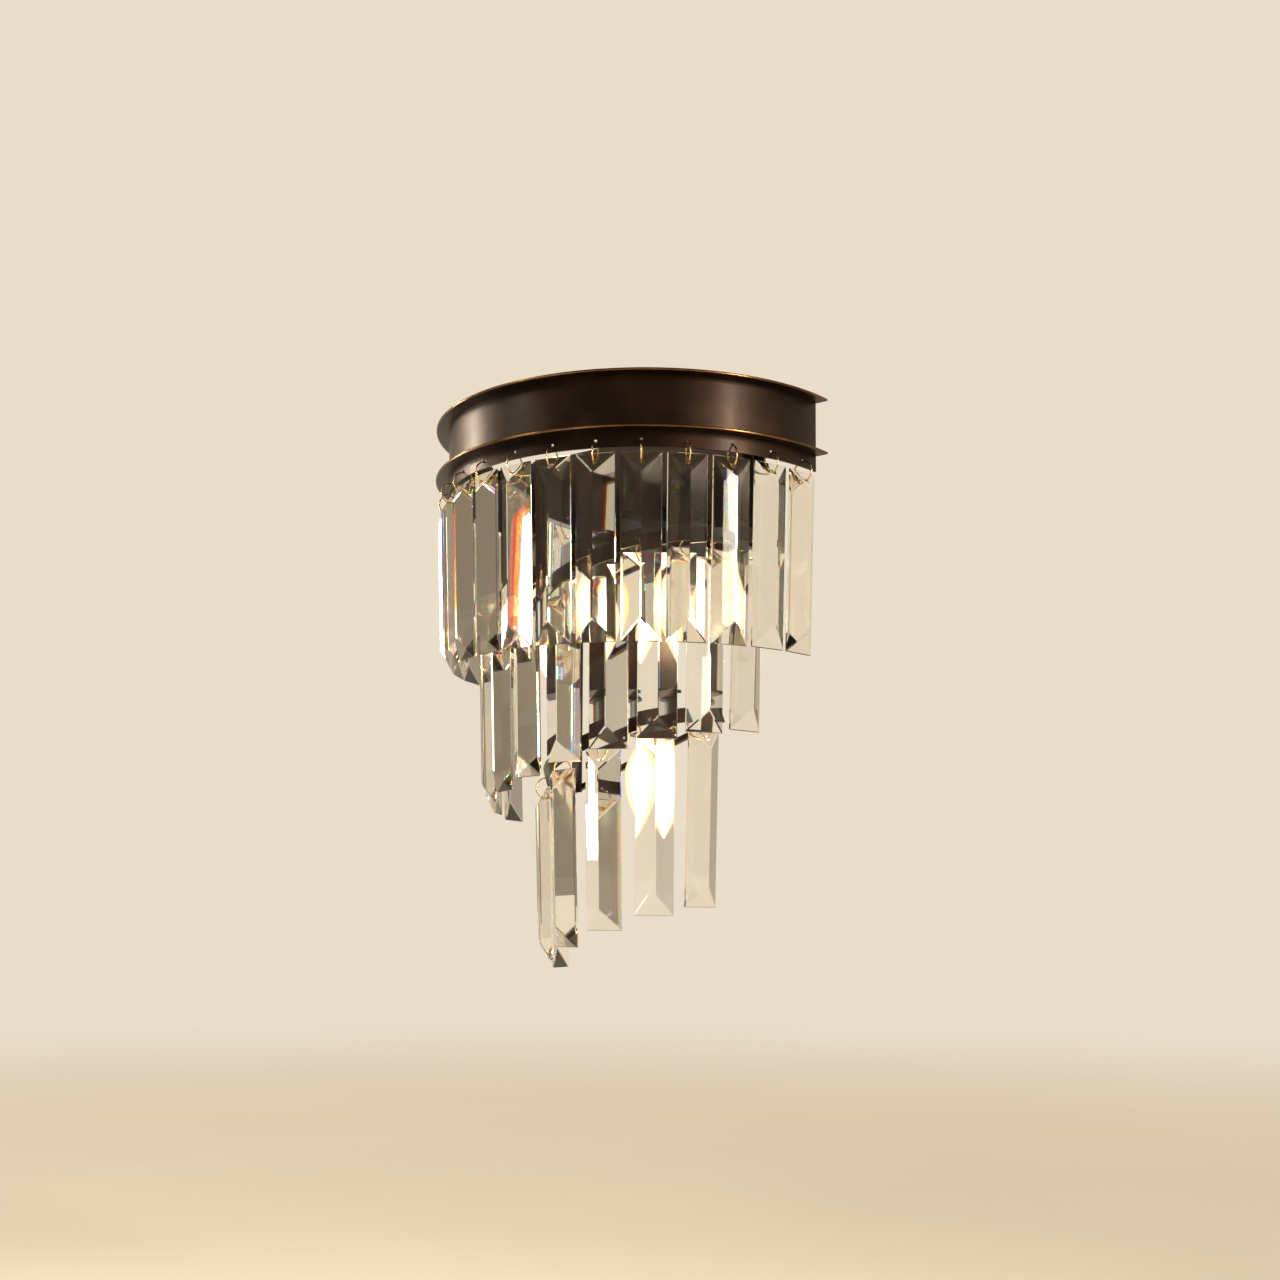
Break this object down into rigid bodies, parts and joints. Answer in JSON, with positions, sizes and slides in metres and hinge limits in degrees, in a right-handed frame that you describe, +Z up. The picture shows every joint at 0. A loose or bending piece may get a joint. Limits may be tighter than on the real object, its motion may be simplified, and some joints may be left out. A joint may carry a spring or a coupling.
{
  "type": "crystal wall sconce",
  "caption": "Half-round wall sconce: dark bronze flanged band over three stepped, leaning tiers of hanging crystal prisms with candle bulbs inside.",
  "frame": {"origin": "centre of the wall bracket on the wall plane, midway between its two screw slots", "axes": "+Z up, +X to the right as seen from the room, +Y into the wall; the front faces -Y"},
  "size_m": [0.3, 0.15, 0.3778],
  "materials": {
    "bronze": "dark oil-rubbed bronze, satin",
    "ring_brass": "polished",
    "crystal": "clear cut and polished",
    "bulb_glass": "clear, warm light",
    "bulb_base": "plain",
    "socket": "matt black",
    "zinc": "zinc plated"
  },
  "bodies": {
    "fixture": {"back_plate": "bronze", "bulb_bases": "bulb_base", "cap_nuts": "bronze", "lamp_cups": "bronze", "lamp_sockets": "socket", "left_bulb": "bulb_glass", "low_arm": "bronze", "low_bulb": "bulb_glass", "lower_hoop": "bronze", "lower_rail": "bronze", "lower_rim": "bronze", "lower_rings": "ring_brass", "lower_strap_left": "bronze", "lower_strap_right": "bronze", "middle_hoop": "bronze", "middle_rail": "bronze", "middle_rings": "ring_brass", "middle_strap_left": "bronze", "middle_strap_right": "bronze", "plate_studs": "zinc", "right_bulb": "bulb_glass", "spine": "bronze", "top_band": "bronze", "top_rail": "bronze", "top_rim": "bronze", "top_rings": "ring_brass", "upper_arms": "bronze", "wall_bracket": "zinc"},
    "lower_crystal_01": {"lower_crystal_01": "crystal"},
    "lower_crystal_02": {"lower_crystal_02": "crystal"},
    "lower_crystal_03": {"lower_crystal_03": "crystal"},
    "lower_crystal_04": {"lower_crystal_04": "crystal"},
    "lower_crystal_05": {"lower_crystal_05": "crystal"},
    "lower_crystal_06": {"lower_crystal_06": "crystal"},
    "middle_crystal_01": {"middle_crystal_01": "crystal"},
    "middle_crystal_02": {"middle_crystal_02": "crystal"},
    "middle_crystal_03": {"middle_crystal_03": "crystal"},
    "middle_crystal_04": {"middle_crystal_04": "crystal"},
    "middle_crystal_05": {"middle_crystal_05": "crystal"},
    "middle_crystal_06": {"middle_crystal_06": "crystal"},
    "middle_crystal_07": {"middle_crystal_07": "crystal"},
    "middle_crystal_08": {"middle_crystal_08": "crystal"},
    "middle_crystal_09": {"middle_crystal_09": "crystal"},
    "middle_crystal_10": {"middle_crystal_10": "crystal"},
    "top_crystal_01": {"top_crystal_01": "crystal"},
    "top_crystal_02": {"top_crystal_02": "crystal"},
    "top_crystal_03": {"top_crystal_03": "crystal"},
    "top_crystal_04": {"top_crystal_04": "crystal"},
    "top_crystal_05": {"top_crystal_05": "crystal"},
    "top_crystal_06": {"top_crystal_06": "crystal"},
    "top_crystal_07": {"top_crystal_07": "crystal"},
    "top_crystal_08": {"top_crystal_08": "crystal"},
    "top_crystal_09": {"top_crystal_09": "crystal"},
    "top_crystal_10": {"top_crystal_10": "crystal"},
    "top_crystal_11": {"top_crystal_11": "crystal"},
    "top_crystal_12": {"top_crystal_12": "crystal"},
    "top_crystal_13": {"top_crystal_13": "crystal"},
    "top_crystal_14": {"top_crystal_14": "crystal"},
    "top_crystal_15": {"top_crystal_15": "crystal"}
  },
  "joints": [
    {"name": "lower_crystal_01_swing", "type": "hinge", "parent": "fixture", "child": "lower_crystal_01", "pos_m": [0.06409, -0.01895, -0.16569], "axis": [-0.2802, -0.9599, 0], "range_deg": [-3, 12]},
    {"name": "lower_crystal_02_swing", "type": "hinge", "parent": "fixture", "child": "lower_crystal_02", "pos_m": [0.04656, -0.0504, -0.17146], "axis": [-0.7286, -0.6849, 0], "range_deg": [-3, 12]},
    {"name": "lower_crystal_03_swing", "type": "hinge", "parent": "fixture", "child": "lower_crystal_03", "pos_m": [0.01651, -0.06852, -0.18134], "axis": [-0.9695, -0.2451, 0], "range_deg": [-3, 12]},
    {"name": "lower_crystal_04_swing", "type": "hinge", "parent": "fixture", "child": "lower_crystal_04", "pos_m": [-0.01813, -0.06852, -0.19273], "axis": [-0.9695, 0.2451, 0], "range_deg": [-3, 12]},
    {"name": "lower_crystal_05_swing", "type": "hinge", "parent": "fixture", "child": "lower_crystal_05", "pos_m": [-0.04819, -0.0504, -0.20261], "axis": [-0.7286, 0.6849, 0], "range_deg": [-3, 12]},
    {"name": "lower_crystal_06_swing", "type": "hinge", "parent": "fixture", "child": "lower_crystal_06", "pos_m": [-0.06572, -0.01895, -0.20837], "axis": [-0.2802, 0.9599, 0], "range_deg": [-3, 12]},
    {"name": "middle_crystal_01_swing", "type": "hinge", "parent": "fixture", "child": "middle_crystal_01", "pos_m": [0.10447, -0.02601, -0.05062], "axis": [-0.2402, -0.9707, 0], "range_deg": [-4, 8]},
    {"name": "middle_crystal_02_swing", "type": "hinge", "parent": "fixture", "child": "middle_crystal_02", "pos_m": [0.09251, -0.05654, -0.05361], "axis": [-0.5189, -0.8548, 0], "range_deg": [-4, 8]},
    {"name": "middle_crystal_03_swing", "type": "hinge", "parent": "fixture", "child": "middle_crystal_03", "pos_m": [0.0724, -0.08213, -0.05862], "axis": [-0.7473, -0.6645, 0], "range_deg": [-4, 8]},
    {"name": "middle_crystal_04_swing", "type": "hinge", "parent": "fixture", "child": "middle_crystal_04", "pos_m": [0.04591, -0.10055, -0.06523], "axis": [-0.9075, -0.42, 0], "range_deg": [-4, 8]},
    {"name": "middle_crystal_05_swing", "type": "hinge", "parent": "fixture", "child": "middle_crystal_05", "pos_m": [0.01535, -0.11018, -0.07284], "axis": [-0.9896, -0.1435, 0], "range_deg": [-4, 8]},
    {"name": "middle_crystal_06_swing", "type": "hinge", "parent": "fixture", "child": "middle_crystal_06", "pos_m": [-0.01661, -0.11018, -0.08081], "axis": [-0.9896, 0.1435, 0], "range_deg": [-4, 8]},
    {"name": "middle_crystal_07_swing", "type": "hinge", "parent": "fixture", "child": "middle_crystal_07", "pos_m": [-0.04716, -0.10055, -0.08843], "axis": [-0.9075, 0.42, 0], "range_deg": [-4, 8]},
    {"name": "middle_crystal_08_swing", "type": "hinge", "parent": "fixture", "child": "middle_crystal_08", "pos_m": [-0.07365, -0.08213, -0.09503], "axis": [-0.7473, 0.6645, 0], "range_deg": [-4, 8]},
    {"name": "middle_crystal_09_swing", "type": "hinge", "parent": "fixture", "child": "middle_crystal_09", "pos_m": [-0.09376, -0.05654, -0.10005], "axis": [-0.5189, 0.8548, 0], "range_deg": [-4, 8]},
    {"name": "middle_crystal_10_swing", "type": "hinge", "parent": "fixture", "child": "middle_crystal_10", "pos_m": [-0.10573, -0.02601, -0.10303], "axis": [-0.2402, 0.9707, 0], "range_deg": [-4, 8]},
    {"name": "top_crystal_01_swing", "type": "hinge", "parent": "fixture", "child": "top_crystal_01", "pos_m": [0.13943, -0.01465, -0.0013], "axis": [-0.1045, -0.9945, 0], "range_deg": [-2, 15]},
    {"name": "top_crystal_02_swing", "type": "hinge", "parent": "fixture", "child": "top_crystal_02", "pos_m": [0.13334, -0.04332, -0.0013], "axis": [-0.309, -0.9511, 0], "range_deg": [-2, 15]},
    {"name": "top_crystal_03_swing", "type": "hinge", "parent": "fixture", "child": "top_crystal_03", "pos_m": [0.12142, -0.0701, -0.0013], "axis": [-0.5, -0.866, 0], "range_deg": [-2, 15]},
    {"name": "top_crystal_04_swing", "type": "hinge", "parent": "fixture", "child": "top_crystal_04", "pos_m": [0.10419, -0.09381, -0.0013], "axis": [-0.6691, -0.7431, 0], "range_deg": [-2, 15]},
    {"name": "top_crystal_05_swing", "type": "hinge", "parent": "fixture", "child": "top_crystal_05", "pos_m": [0.08241, -0.11342, -0.0013], "axis": [-0.809, -0.5878, 0], "range_deg": [-2, 15]},
    {"name": "top_crystal_06_swing", "type": "hinge", "parent": "fixture", "child": "top_crystal_06", "pos_m": [0.05702, -0.12808, -0.0013], "axis": [-0.9135, -0.4067, 0], "range_deg": [-2, 15]},
    {"name": "top_crystal_07_swing", "type": "hinge", "parent": "fixture", "child": "top_crystal_07", "pos_m": [0.02915, -0.13714, -0.0013], "axis": [-0.9781, -0.2079, 0], "range_deg": [-2, 15]},
    {"name": "top_crystal_08_swing", "type": "hinge", "parent": "fixture", "child": "top_crystal_08", "pos_m": [0, -0.1402, -0.0013], "axis": [-1, 0, 0], "range_deg": [-2, 15]},
    {"name": "top_crystal_09_swing", "type": "hinge", "parent": "fixture", "child": "top_crystal_09", "pos_m": [-0.02915, -0.13714, -0.0013], "axis": [-0.9781, 0.2079, 0], "range_deg": [-2, 15]},
    {"name": "top_crystal_10_swing", "type": "hinge", "parent": "fixture", "child": "top_crystal_10", "pos_m": [-0.05702, -0.12808, -0.0013], "axis": [-0.9135, 0.4067, 0], "range_deg": [-2, 15]},
    {"name": "top_crystal_11_swing", "type": "hinge", "parent": "fixture", "child": "top_crystal_11", "pos_m": [-0.08241, -0.11342, -0.0013], "axis": [-0.809, 0.5878, 0], "range_deg": [-2, 15]},
    {"name": "top_crystal_12_swing", "type": "hinge", "parent": "fixture", "child": "top_crystal_12", "pos_m": [-0.10419, -0.09381, -0.0013], "axis": [-0.6691, 0.7431, 0], "range_deg": [-2, 15]},
    {"name": "top_crystal_13_swing", "type": "hinge", "parent": "fixture", "child": "top_crystal_13", "pos_m": [-0.12142, -0.0701, -0.0013], "axis": [-0.5, 0.866, 0], "range_deg": [-2, 15]},
    {"name": "top_crystal_14_swing", "type": "hinge", "parent": "fixture", "child": "top_crystal_14", "pos_m": [-0.13334, -0.04332, -0.0013], "axis": [-0.309, 0.9511, 0], "range_deg": [-2, 15]},
    {"name": "top_crystal_15_swing", "type": "hinge", "parent": "fixture", "child": "top_crystal_15", "pos_m": [-0.13943, -0.01465, -0.0013], "axis": [-0.1045, 0.9945, 0], "range_deg": [-2, 15]}
  ]
}
